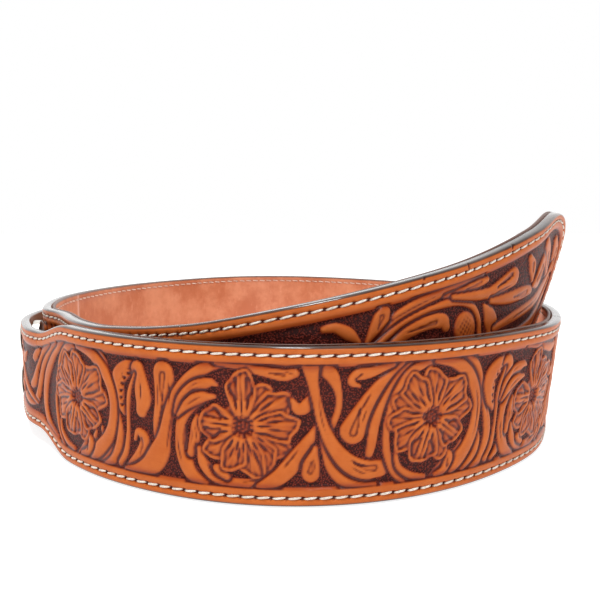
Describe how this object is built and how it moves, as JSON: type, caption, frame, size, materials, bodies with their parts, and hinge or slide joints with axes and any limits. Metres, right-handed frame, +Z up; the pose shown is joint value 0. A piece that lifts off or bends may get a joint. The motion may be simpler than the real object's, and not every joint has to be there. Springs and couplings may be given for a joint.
{
  "type": "western tooled leather belt",
  "caption": "Thick leather waist belt with floral tooling, stitched borders and a smooth lining, coiled one and a half turns and standing on its lower edge",
  "frame": {"origin": "middle of the coil's outline, on the surface that the belt stands on", "axes": "+Z is up, across the strap's width; -Y is the front, where the tooled face shows and the tip comes forward; +X is the side of the tip"},
  "size_m": [0.1832, 0.2238, 0.0692],
  "materials": {
    "tooled_leather": "antiqued orange tan, glossy",
    "lining_leather": "smooth russet, half matt",
    "nickel": "polished nickel plate"
  },
  "bodies": {
    "root": {"tooled_strap": "tooled_leather", "body_lining": "lining_leather", "tip_lining": "lining_leather", "flap_snap_upper": "nickel", "flap_snap_lower": "nickel", "body_stud_upper": "nickel", "body_stud_lower": "nickel"}
  },
  "joints": []
}
